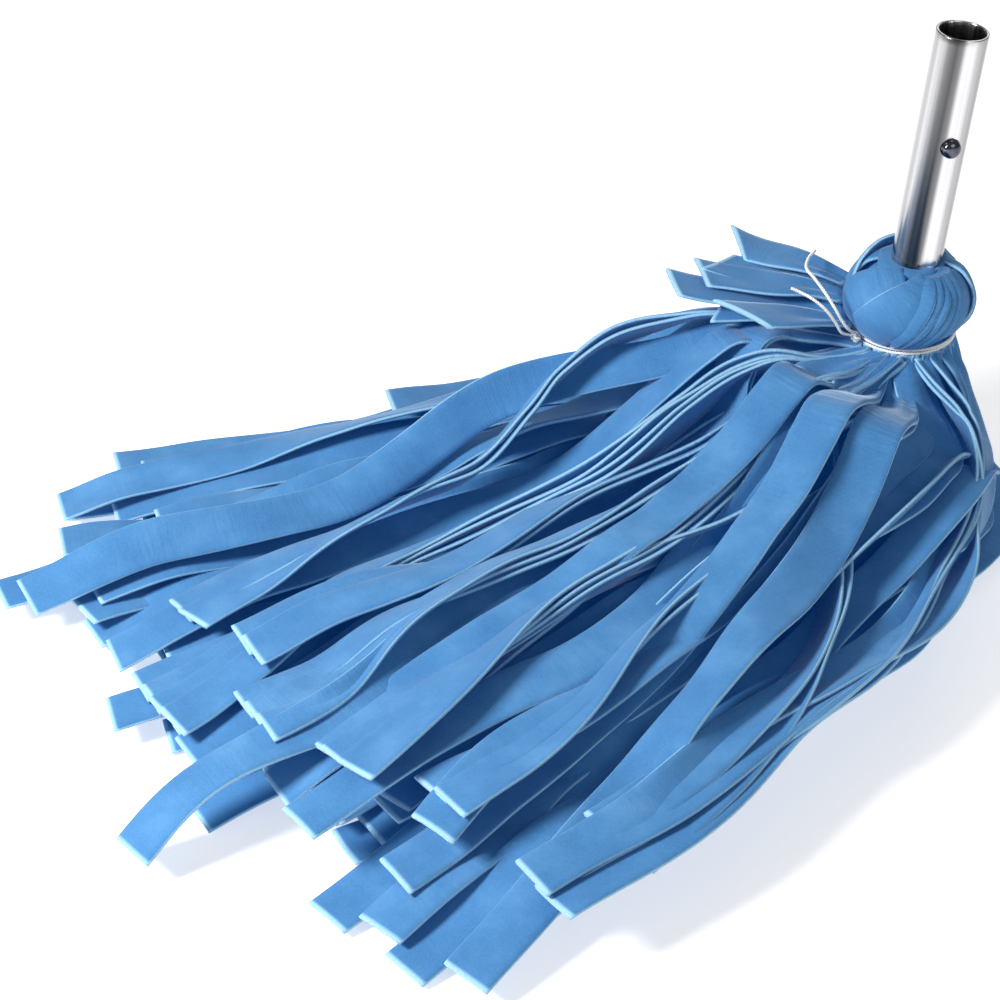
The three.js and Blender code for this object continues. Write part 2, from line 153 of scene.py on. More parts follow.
def make_floor():
    """A white floor just under the strips, which glows a little so that it stays white."""
    mesh = bpy.data.meshes.new("floor")
    corners = [(x * FLOOR_HALF, y * FLOOR_HALF, -FLOOR_DROP) for x, y in ((-1, -1), (1, -1), (1, 1), (-1, 1))]
    mesh.from_pydata(corners, [], [(0, 1, 2, 3)])
    floor = add_object("floor", mesh)
    n = Nodes("floor")
    n.set("Base Color", (0.8, 0.8, 0.8, 1))
    n.set("Roughness", 0.9)
    n.set("Emission Color", (1, 1, 1, 1))
    n.set("Emission Strength", 0.55)
    mesh.materials.append(n.material)


def make_lights():
    world = bpy.data.worlds.new("studio")
    world.use_nodes = True
    background = world.node_tree.nodes["Background"]
    background.inputs["Color"].default_value = (1.0, 1.0, 1.0, 1)
    background.inputs["Strength"].default_value = 0.22
    bpy.context.scene.world = world
    area_light("key", [-1000, -480, 760], [-120, -80, 30], 0.34, 20)
    area_light("fill", [500, -1000, 800], [-60, -60, 60], 0.8, 2.6)
    area_light("back", [300, 900, 900], [-60, -20, 60], 0.8, 2.2)
    bpy.context.scene.view_settings.view_transform = "Standard"


# ---- Materials

# Painted reflections on the tube, light and dark bands: how far round from azimuth 180, in turns, and how
# bright
PAINTED_REFLECTIONS = [
    (0.0, 0.72), (0.045, 0.50), (0.08, 0.62), (0.115, 0.38), (0.15, 0.16), (0.20, 0.10), (0.235, 0.24),
    (0.262, 0.88), (0.31, 0.95), (0.345, 0.62), (0.40, 0.42), (0.47, 0.66), (0.54, 0.30), (0.62, 0.20),
    (0.68, 0.60), (0.75, 0.90), (0.82, 0.46), (0.88, 0.24), (0.93, 0.52), (1.0, 0.72),
]


class Nodes:
    """Short calls for building one material's node tree."""

    def __init__(self, name):
        self.material = bpy.data.materials.new(name)
        self.material.use_nodes = True
        self.tree = self.material.node_tree
        self.shader = self.tree.nodes["Principled BSDF"]

    def set(self, socket, value):
        self.shader.inputs[socket].default_value = value

    def add(self, kind, **settings):
        node = self.tree.nodes.new(kind)
        for key, value in settings.items():
            setattr(node, key, value)
        return node

    def coordinates(self):
        return self.add("ShaderNodeTexCoord").outputs["Object"]

    def link(self, source, target):
        self.tree.links.new(source, target)

    def noise(self, vector, scale, detail=3.0, roughness=0.55):
        node = self.add("ShaderNodeTexNoise")
        node.inputs["Scale"].default_value = scale
        node.inputs["Detail"].default_value = detail
        node.inputs["Roughness"].default_value = roughness
        self.link(vector, node.inputs["Vector"])
        return node.outputs["Fac"]

    def ramp(self, value, stops):
        node = self.add("ShaderNodeValToRGB")
        elements = node.color_ramp.elements
        elements[0].position, elements[0].color = stops[0]
        elements[1].position, elements[1].color = stops[-1]
        for position, colour in stops[1:-1]:
            elements.new(position).color = colour
        self.link(value, node.inputs["Fac"])
        return node.outputs["Color"]

    def spread(self, value, low, high, to_low=0.0, to_high=1.0):
        node = self.add("ShaderNodeMapRange")
        for key, number in (("From Min", low), ("From Max", high), ("To Min", to_low), ("To Max", to_high)):
            node.inputs[key].default_value = number
        self.link(value, node.inputs["Value"])
        return node.outputs["Result"]

    def math(self, operation, a, b):
        node = self.add("ShaderNodeMath", operation=operation)
        for socket, value in zip(node.inputs, (a, b)):
            if isinstance(value, (int, float)):
                socket.default_value = value
            else:
                self.link(value, socket)
        return node.outputs["Value"]

    def mix(self, factor, a, b, blend="MIX"):
        node = self.add("ShaderNodeMix", data_type="RGBA", blend_type=blend)
        sockets = [s for s in node.inputs if s.enabled]
        for socket, value in zip(sockets, (factor, a, b)):
            if isinstance(value, (int, float, tuple)):
                socket.default_value = value
            else:
                self.link(value, socket)
        return next(s for s in node.outputs if s.enabled)

    def bump(self, height, strength, distance, below=None):
        node = self.add("ShaderNodeBump")
        node.inputs["Strength"].default_value = strength
        node.inputs["Distance"].default_value = distance
        self.link(height, node.inputs["Height"])
        if below is not None:
            self.link(below, node.inputs["Normal"])
        return node.outputs["Normal"]


def stretched(nodes, source, scale):
    mapping = nodes.add("ShaderNodeMapping")
    mapping.inputs["Scale"].default_value = scale
    nodes.link(source, mapping.inputs["Vector"])
    return mapping.outputs["Vector"]


def cloth_material():
    """Matte nonwoven: faint mottling, fine cross wrinkles where it bends, and a painted highlight along the
    cut edges.

    The faint blue glow stands in for light that passes through the cloth.
    """
    n = Nodes("nonwoven_cloth")
    place_of = n.coordinates()
    cloth_uv = n.add("ShaderNodeUVMap", uv_map="cloth").outputs["UV"]
    # Mask for the painted highlight on the cut edges and ends
    edge = n.add("ShaderNodeAttribute", attribute_name="edge_highlight_mask").outputs["Fac"]
    bend = n.add("ShaderNodeAttribute", attribute_name="bend").outputs["Fac"]
    patches = n.noise(place_of, 38, 3)
    fibres = n.noise(place_of, 900, 4, 0.7)
    base = n.ramp(n.spread(patches, 0.3, 0.7), [
        (0.0, (0.037, 0.148, 0.335, 1)), (0.5, (0.047, 0.174, 0.375, 1)), (1.0, (0.073, 0.218, 0.430, 1)),
    ])
    mottled = n.mix(n.spread(fibres, 0.35, 0.65, 0.0, 0.16), base, (0.14, 0.34, 0.57, 1))
    fuzz = n.noise(place_of, 2200, 2)
    # Painted highlight: the cut edges and strip ends are made paler, as where they catch the light
    highlight_colour = n.ramp(fuzz, [(0.25, (0.19, 0.40, 0.58, 1)), (0.75, (0.37, 0.59, 0.71, 1))])
    n.link(n.mix(n.spread(edge, 0.25, 0.75), mottled, highlight_colour), n.shader.inputs["Base Color"])
    creases = n.noise(stretched(n, cloth_uv, (300, 38, 1)), 1.0, 3, 0.6)
    wrinkle = n.math("MULTIPLY", n.spread(creases, 0.35, 0.75), n.spread(bend, 0.0, 1.0, 0.06, 1.0))
    soft = n.bump(wrinkle, 0.5, 0.0011)
    n.link(n.bump(fibres, 0.22, 0.0004, soft), n.shader.inputs["Normal"])
    n.set("Roughness", 0.82)
    n.set("Specular IOR Level", 0.25)
    n.set("Sheen Weight", 0.42)
    n.set("Sheen Roughness", 0.4)
    n.set("Sheen Tint", (0.72, 0.86, 1.0, 1))
    n.set("Emission Color", (0.0, 0.25, 1.0, 1))
    n.set("Emission Strength", 0.045)
    return n.material


def tube_material():
    """Polished aluminium: painted reflections, long soft light and dark bands, run the whole way along the
    tube.
    """
    n = Nodes("polished_tube")
    place_of = n.coordinates()
    upright = n.add("ShaderNodeMapping", vector_type="TEXTURE")
    upright.inputs["Location"].default_value = place([0, 0, TUBE_FOOT])
    upright.inputs["Rotation"].default_value = (0, TUBE_LEAN, 0)
    n.link(place_of, upright.inputs["Vector"])
    around = n.add("ShaderNodeTexGradient", gradient_type="RADIAL")
    n.link(upright.outputs["Vector"], around.inputs["Vector"])
    # Painted reflections: bright and dark bands round the tube, as the lamps and room would show in it
    reflection_bands = n.ramp(around.outputs["Fac"], [(turn, (tone, tone, tone * 1.02, 1)) for turn, tone in PAINTED_REFLECTIONS])
    drawn = n.noise(stretched(n, upright.outputs["Vector"], (900, 900, 10)), 1.0, 3, 0.6)
    grain = n.noise(place_of, 1500, 2)
    lines = n.ramp(drawn, [(0.3, (0.78, 0.78, 0.79, 1)), (0.7, (1.0, 1.0, 1.0, 1))])
    n.link(n.mix(1.0, reflection_bands, lines, "MULTIPLY"), n.shader.inputs["Base Color"])
    n.set("Metallic", 1.0)
    n.link(n.spread(drawn, 0.3, 0.7, 0.16, 0.26), n.shader.inputs["Roughness"])
    fine = n.bump(drawn, 0.08, 0.0002)
    n.link(n.bump(grain, 0.04, 0.0001, fine), n.shader.inputs["Normal"])
    return n.material


def steel_material(name, dark, light, roughness):
    n = Nodes(name)
    place_of = n.coordinates()
    smudge = n.noise(place_of, 260, 3)
    n.link(n.ramp(smudge, [(0.3, (*dark, 1)), (0.75, (*light, 1))]), n.shader.inputs["Base Color"])
    n.set("Metallic", 1.0)
    n.link(n.spread(smudge, 0.3, 0.7, roughness, roughness + 0.1), n.shader.inputs["Roughness"])
    return n.material


def twine_material():
    n = Nodes("white_twine")
    place_of = n.coordinates()
    fibres = n.noise(place_of, 1800, 3, 0.65)
    tone = n.ramp(fibres, [(0.25, (0.70, 0.71, 0.70, 1)), (0.7, (0.93, 0.93, 0.91, 1))])
    n.link(tone, n.shader.inputs["Base Color"])
    n.link(n.bump(fibres, 0.35, 0.0003), n.shader.inputs["Normal"])
    n.set("Roughness", 0.85)
    n.set("Sheen Weight", 0.2)
    return n.material


CLOTH = cloth_material()
TUBE_METAL = tube_material()
BUTTON_STEEL = steel_material("dark_polished_steel", (0.07, 0.08, 0.10), (0.16, 0.17, 0.20), 0.10)
SPRING_STEEL = steel_material("blued_spring_steel", (0.22, 0.24, 0.27), (0.34, 0.35, 0.37), 0.32)
TWINE = twine_material()


def mesh_object(name, points_mm, faces, material):
    mesh = bpy.data.meshes.new(name)
    mesh.from_pydata([tuple(p) for p in place(points_mm)], [], faces)
    mesh.update()
    mesh.polygons.foreach_set("use_smooth", [True] * len(mesh.polygons))
    mesh.materials.append(material)
    return add_object(name, mesh)


# ---- Curves


def spline(knots, values, s):
    """Values at s of the smooth curve that passes through values at knots."""
    slope = np.gradient(values, knots, axis=0)
    i = np.clip(np.searchsorted(knots, s) - 1, 0, len(knots) - 2)
    h = knots[i + 1] - knots[i]
    t = (s - knots[i]) / h
    if values.ndim > 1:
        t, h = t[:, None], h[:, None]
    start = (1 + 2 * t) * (1 - t) ** 2 * values[i] + t * (1 - t) ** 2 * h * slope[i]
    return start + t * t * (3 - 2 * t) * values[i + 1] + t * t * (t - 1) * h * slope[i + 1]


def lengths(points):
    return np.concatenate([[0.0], np.cumsum(np.linalg.norm(np.diff(points, axis=0), axis=1))])


def resample(points, step, *others):
    """The points every step along their smooth curve, and others carried along with them."""
    knots = lengths(points)
    fine = spline(knots, points, np.linspace(0, knots[-1], len(points) * 12))
    run = lengths(fine)
    s = np.linspace(0, run[-1], max(int(run[-1] / step), 8))
    at = np.interp(s, run, np.linspace(0, knots[-1], len(run)))
    return (spline(knots, points, at), *(spline(knots, o, at) for o in others))


def waves(rng, s, size, wavelength):
    """A slow repeatable wander along s."""
    total = np.zeros_like(s)
    for _ in range(3):
        total += np.sin(2 * math.pi * s / (wavelength * rng.uniform(0.7, 1.6)) + rng.uniform(0, 6.3))
    return size * total / 1.8


# ---- Ribbons: every piece of cloth is one, with a rounded section and cut edges

ACROSS = np.array([-1.0, -0.93, -0.72, -0.48, -0.24, 0.0, 0.24, 0.48, 0.72, 0.93, 1.0])
ROUND = 0.42


class Ribbon:
    """Centre line, width direction and width at each station, in millimetres from the knot's axis."""

    def __init__(self, centre, across, width):
        self.centre = np.array(centre, float)
        self.across = unit(across)
        self.width = np.array(width, float)
        self.camber = np.zeros(len(centre))
        self.pleat = np.zeros(len(centre))
        self.pleats = 1.5
        self.ripple = np.zeros(len(centre))
        self.cut = [0.0, 0.0]
        # Whether the cut ends get the painted highlight
        self.highlight_ends = True

    def frame(self):
        tangent = heading(self.centre)
        across = unit(self.across - tangent * np.sum(self.across * tangent, axis=1, keepdims=True))
        return tangent, across, unit(np.cross(tangent, across))

    def surface(self, u, side):
        """The cloth's face at u across, on side 1 (top) or -1 (bottom)."""
        tangent, across, normal = self.frame()
        half = self.width / 2
        crown = self.camber * (1 - u * u)
        fold = self.pleat * np.cos(math.pi * self.pleats * u)
        lift = crown + fold + self.ripple * u * u + side * PLY / 2 * (1 - ROUND * (abs(u) == 1))
        inset = 1 - 0.02 * (abs(u) == 1)
        points = self.centre + across * (u * half * inset)[:, None] + normal * lift[:, None]
        return points + tangent * self.slant(u)[:, None]

    def slant(self, u):
        """How far the cut ends lean along the strip at u across."""
        run = lengths(self.centre)
        near = smooth(1 - run / 16)
        far = smooth(1 - (run[-1] - run) / 16)
        return u * (near * self.cut[0] + far * self.cut[1])

    def rim(self, u):
        tangent, across, normal = self.frame()
        crown = self.ripple + self.pleat * math.cos(math.pi * self.pleats * u)
        points = self.centre + across * (u * self.width / 2)[:, None] + normal * crown[:, None]
        return points + tangent * self.slant(u)[:, None]

    def trim(self, count):
        """Keeps the first count stations."""
        self.centre = self.centre[:count]
        self.across = self.across[:count]
        self.width = self.width[:count]
        self.camber = self.camber[:count]
        self.pleat = self.pleat[:count]
        self.ripple = self.ripple[:count]

    def build(self, name, seed):
        top = [self.surface(u, 1) for u in ACROSS]
        bottom = [self.surface(u, -1) for u in ACROSS[::-1]]
        loop = np.array([*top, self.rim(1), *bottom, self.rim(-1)]).swapaxes(0, 1)
        stations, around = loop.shape[:2]
        piece = mesh_object(name, loop.reshape(-1, 3), self.faces(stations, around), CLOTH)
        fix_normals(piece)
        self.paint(piece, around, seed)
        return piece

    @staticmethod
    def faces(stations, around):
        """The faces round the strip from station to station, and those that close its two ends."""
        m = len(ACROSS)
        faces = []
        for i in range(stations - 1):
            for j in range(around):
                k = (j + 1) % around
                faces.append((i * around + j, i * around + k, (i + 1) * around + k, (i + 1) * around + j))
        last = (stations - 1) * around
        for j in range(m - 1):
            a, b, c, d = j, j + 1, 2 * m - 1 - j, 2 * m - j
            faces.append((a, d, c, b))
            faces.append((last + a, last + b, last + c, last + d))
        for a, b, c in ((m - 1, m + 1, m), (0, 2 * m + 1, 2 * m)):
            faces.append((a, b, c))
            faces.append((last + c, last + b, last + a))
        return faces

    def paint(self, piece, around, seed):
        """Stores the cloth's own coordinates, a painted highlight mask for its cut edges and ends, and its
        bends for the material.
        """
        mesh = piece.data
        run = lengths(self.centre)
        m = len(ACROSS)
        tangent = self.frame()[0]
        turn = np.linalg.norm(np.gradient(tangent, run, axis=0), axis=1)
        kernel = np.ones(5) / 5
        bend = np.clip(np.convolve(turn, kernel, "same") / 0.03, 0, 1)
        # The painted edge highlight: full on the thin sides, part on the corners of the faces
        side = np.zeros(around)
        side[[0, m - 1, m + 1, 2 * m]] = 0.55
        side[[m, 2 * m + 1]] = 1.0
        edge = np.tile(side, len(run))
        # The cut ends get the painted highlight as well
        if self.highlight_ends:
            edge[:around] = 1.0
            edge[-around:] = 1.0
        store(mesh, "edge_highlight_mask", edge)
        store(mesh, "bend", np.repeat(bend, around))
        u = np.concatenate([ACROSS, [1.05], ACROSS[::-1], [-1.05]])
        along = np.repeat(run, around) * MM + seed * 0.7
        across = (u[None, :] * self.width[:, None] / 2).ravel() * MM
        layer = mesh.uv_layers.new(name="cloth")
        corner = np.zeros(len(mesh.loops), np.int32)
        mesh.loops.foreach_get("vertex_index", corner)
        layer.data.foreach_set("uv", np.stack([along[corner], across[corner]], 1).astype(np.float32).ravel())

    def length(self):
        return lengths(self.centre)[-1] * MM


def store(mesh, key, values):
    mesh.attributes.new(key, "FLOAT", "POINT").data.foreach_set("value", values.astype(np.float32))


def fix_normals(piece):
    work = bmesh.new()
    work.from_mesh(piece.data)
    bmesh.ops.recalc_face_normals(work, faces=work.faces)
    work.to_mesh(piece.data)
    work.free()


# ---- The heap: a height map that each ribbon is laid on in turn

CELL = 1.5
CORNER = np.array([-500.0, -430.0])
heap_top = np.zeros((420, 400))
HEAP_STARTS = 48
DRAPE_RADIUS = 110.0
CLEARANCE = 0.7


def cells(points):
    at = ((points[..., :2] - CORNER) / CELL).astype(int)
    return np.clip(at[..., 0], 1, heap_top.shape[0] - 2), np.clip(at[..., 1], 1, heap_top.shape[1] - 2)


def add_to_heap(ribbon):
    for u, side in itertools.product(np.linspace(-1, 1, 17), (-1, 1)):
        points = ribbon.surface(u, side)
        points = points[np.hypot(points[:, 0], points[:, 1]) > HEAP_STARTS]
        between = (points[1:] + points[:-1]) / 2
        for batch in (points, between):
            x, y = cells(batch)
            for dx, dy in ((0, 0), (1, 0), (-1, 0), (0, 1), (0, -1)):
                np.maximum.at(heap_top, (x + dx, y + dy), batch[:, 2])


def height_needed(ribbons):
    """How far each station has to rise for all the ribbons to clear the heap and the floor."""
    need = np.zeros(len(ribbons[0].centre))
    for ribbon in ribbons:
        for u, side in itertools.product(np.linspace(-1, 1, 9), (-1, 1)):
            points = ribbon.surface(u, side)
            under = heap_top[cells(points)]
            rest = np.where(under > 0, under + CLEARANCE, 0.05)
            need = np.maximum(need, rest - points[:, 2])
    return need


def lay(ribbons, most):
    """Lifts ribbons that lie together towards clearing the heap.

    The lift is limited by most, and beside the waist there is none, so they may still cut into others.
    """
    lead = ribbons[0]
    run = lengths(lead.centre)
    lifted = np.zeros(len(run))
    most = most * (0.7 + 1.8 * smooth(run / run[-1] * 1.3))
    clear = smooth((np.hypot(lead.centre[:, 0], lead.centre[:, 1]) - 55) / 70)
    for _ in range(5):
        need = np.minimum(height_needed(ribbons) * clear, most - lifted)
        if need.max() < 0.05:
            break
        apart = run[:, None] - run[None, :]
        lift = np.maximum(np.max(need[None, :] - 1 / (2 * DRAPE_RADIUS) * apart ** 2, axis=1), 0)
        for _ in range(24):
            lift[1:-1] = (lift[:-2] + 2 * lift[1:-1] + lift[2:]) / 4
        lifted += lift * smooth(run / 60)
        for ribbon in ribbons:
            ribbon.centre[:, 2] += lift * smooth(run / 60)
    for ribbon in ribbons:
        lowest = np.min([ribbon.surface(u, side)[:, 2] for u in ACROSS for side in (-1, 1)], axis=0)
        ribbon.centre[:, 2] += np.maximum(0.3 - lowest, 0)
        add_to_heap(ribbon)


def flat_across(centre, exit_azimuth):
    """The level direction to the left of travel, steadied where the strip hangs straight down."""
    tangent = heading(centre)
    level = np.cross(UP, tangent)
    size = np.linalg.norm(level, axis=1, keepdims=True)
    start = np.cross(UP, direction(exit_azimuth))
    steady = unit(level / np.maximum(size, 1e-6) * smooth(size * 1.6) + start * (1 - smooth(size * 1.6)))
    return steady, tangent


def rolled(centre, exit_azimuth, roll):
    steady, tangent = flat_across(centre, exit_azimuth)
    level = unit(steady - tangent * np.sum(steady * tangent, axis=1, keepdims=True))
    upright = np.cross(tangent, level)
    a = np.radians(roll)[:, None]
    return np.cos(a) * level + np.sin(a) * upright


# ---- Skirt strips that stand for the CAD's

NECK = [(23.0, 93.6), (24.0, 90.5)]
STEP = 3.0
RING_SIZES = [9, 9, 10, 7]
SETTLE = [0, 2.5, 6, 9]
# For each ring: how far its between strips are raised, and the most that laying may lift them
BETWEEN_LIFT = {1: (3, 7), 2: (-4, 5), 3: (-16, 0)}
NECK_RUN = 78
STEEP_HEIGHT = 60
BLEND_FLOOR = 42
BLEND_REACH = 56
HELD_SHARE = 0.16


def node_rings(name):
    """Centre, width direction and width of a ribbon node's sections, from the knot outwards."""
    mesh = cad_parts[name].data
    keys = {}
    index = [keys.setdefault(tuple(round(x, 6) for x in v.co), len(keys)) for v in mesh.vertices]
    points = unplace(np.array(list(keys)))
    linked = [set() for _ in keys]
    for polygon in mesh.polygons:
        corners = {index[i] for i in polygon.vertices}
        for i in corners:
            linked[i] |= corners
    ring = set(np.argsort(np.hypot(points[:, 0], points[:, 1]))[:4].tolist())
    seen = set(ring)
    sections = []
    while ring:
        section = points[sorted(ring)]
        centre = section.mean(axis=0)
        across = np.linalg.svd(section - centre)[2][0]
        if sections and np.dot(across, sections[-1][1]) < 0:
            across = -across
        width = 2 * np.abs((section - centre) @ across).max()
        sections.append((centre, across, width))
        ring = set().union(*(linked[i] for i in ring)) - seen
        seen |= ring
    return [np.array(column) for column in zip(*sections)]


def roll_of(centre, across, exit_azimuth):
    level, tangent = flat_across(centre, exit_azimuth)
    level = unit(level - tangent * np.sum(level * tangent, axis=1, keepdims=True))
    upright = np.cross(tangent, level)
    flat = np.sum(across * level, axis=1)
    rise = np.sum(across * upright, axis=1) * np.sign(flat)
    return np.degrees(np.arctan2(rise, np.abs(flat)))


def with_neck(centre, ring):
    """The strip's line from under the tie, where a smooth bend replaces the sections beside the waist."""
    out = unit([centre[0, 0], centre[0, 1], 0])
    neck = [out * (radius + 0.35 * ring) + UP * height for radius, height in NECK]
    first = np.argmax(np.hypot(centre[:, 0], centre[:, 1]) > 38)
    return np.array([*neck, *centre[first:]]), first


def finish_strip(ribbon, rng, run, crown, ripple):
    """Gathers the strip at the neck, and gives it its own crown, ripple and cut."""
    gathered = smooth(1 - run / 70)
    ribbon.pleat = 1.3 * gathered * rng.choice([-1, 1])
    ribbon.pleats = rng.choice([1.0, 1.5, 2.0])
    ribbon.camber = waves(rng, run, crown, 150) * smooth(run / 60)
    ribbon.ripple = waves(rng, run, ripple, 90) * smooth(run / 50)
    ribbon.cut = [0, rng.uniform(-2.2, 2.2)]


def blend_strip(piece, ribbon):
    """Works out a blend from the strip's neck, straight down where it drops steeply and otherwise level, away
    from the waist, but applies none of it; then bakes the strip's transform.
    """
    run = lengths(ribbon.centre)
    start = ribbon.centre[0]
    end = ribbon.centre[np.searchsorted(run, NECK_RUN)]
    if end[2] < STEEP_HEIGHT:
        stop = np.array([start[0], start[1], max(end[2], BLEND_FLOOR)])
    else:
        stop = start + unit([end[0] - start[0], end[1] - start[1], 0]) * BLEND_REACH
    start = start + (stop - start) * HELD_SHARE
    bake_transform(piece)


def declare_strip(ribbon):
    round(ribbon.length(), 3)


def make_strip(name, line, roll, width, exit_azimuth, rng, most):
    """One strip along line, laid on the heap."""
    run = lengths(line)
    ribbon = Ribbon(line, rolled(line, exit_azimuth, roll), width)
    finish_strip(ribbon, rng, run, 0.9, 0.7)
    lay([ribbon], most)
    piece = ribbon.build(name, rng.random())
    blend_strip(piece, ribbon)
    return piece, ribbon


def cad_strip(number, ring):
    rng = random.Random(number)
    centre, across, width = node_rings(f"skirt_strip_{number:02d}")
    exit_azimuth = exit_of(centre)
    roll = roll_of(centre, across, exit_azimuth)
    line, first = with_neck(centre, ring)
    roll = np.concatenate([[0, 0], roll[first:]])
    width = np.concatenate([[9.5, 11], width[first:]])
    line, roll, width = resample(line, STEP, roll, width)
    run = lengths(line)
    middle = smooth(run / 90) * smooth((run[-1] - run) / 140)
    roll = roll + middle * waves(rng, run, [5, 10, 17, 22][ring], 240)
    settled = smooth((np.hypot(line[:, 0], line[:, 1]) - 26) / 34) * (1 - smooth((run - 130) / 110))
    line[:, 2] -= SETTLE[ring] * settled
    width = np.minimum(np.maximum(width, 10 + 14 * smooth(run / (90 - 10 * ring))), STRIP_WIDTH)
    piece, ribbon = make_strip(f"strip_{number:02d}", line, roll, width, exit_azimuth, rng, 9)
    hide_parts(f"skirt_strip_{number:02d}")
    declare_strip(ribbon)
    return line


def between_strip(name, first, second, number, rise, most):
    """A strip halfway between two others, most of it turned up on edge between them."""
    rng = random.Random(200 + number)
    share = np.linspace(0, 1, 150)
    pair = [np.array([np.interp(share, lengths(l) / lengths(l)[-1], l[:, k]) for k in range(3)]).T
            for l in (first, second)]
    line = (pair[0] + pair[1]) / 2
    run = lengths(line)
    reach = run[-1] * rng.uniform(0.9, 1.0)
    line = line[run <= reach]
    run = run[run <= reach]
    swing = waves(rng, run, 6, 300) * smooth(run / 120)
    side = unit(np.cross(UP, np.gradient(line, axis=0)) + [1e-6, 0, 0])
    line = line + side * swing[:, None]
    line[:, 2] += rise * smooth(run / 80) * smooth((run[-1] - run) / 160)
    line = resample(line[::3], STEP)[0]
    run = lengths(line)
    exit_azimuth = exit_of(line)
    turned = rng.choice([-62, -48, 40, 55, 66, 70])
    roll = turned * smooth((run - 20) / 80) * smooth((run[-1] - run) / (0.55 * run[-1]))
    width = 10 + 14 * smooth(run / 80)
    piece, ribbon = make_strip(name, line, roll, width, exit_azimuth, rng, most)
    declare_strip(ribbon)


def skirt():
    number = 0
    for ring, size in enumerate(RING_SIZES):
        lines = []
        for _ in range(size):
            number += 1
            lines.append(cad_strip(number, ring))
        if ring > 0:
            lines.sort(key=lambda l: math.atan2(l[0, 1], l[0, 0]) % (2 * math.pi))
            for k, (first, second) in enumerate(zip(lines, lines[1:])):
                name = f"between_strip_{ring}{'abcdefghij'[k]}"
                between_strip(name, first, second, 10 * ring + k, *BETWEEN_LIFT[ring])


# ---- Strips on top of the heap: how many lie together, and their route as (x, y, z, roll in degrees)

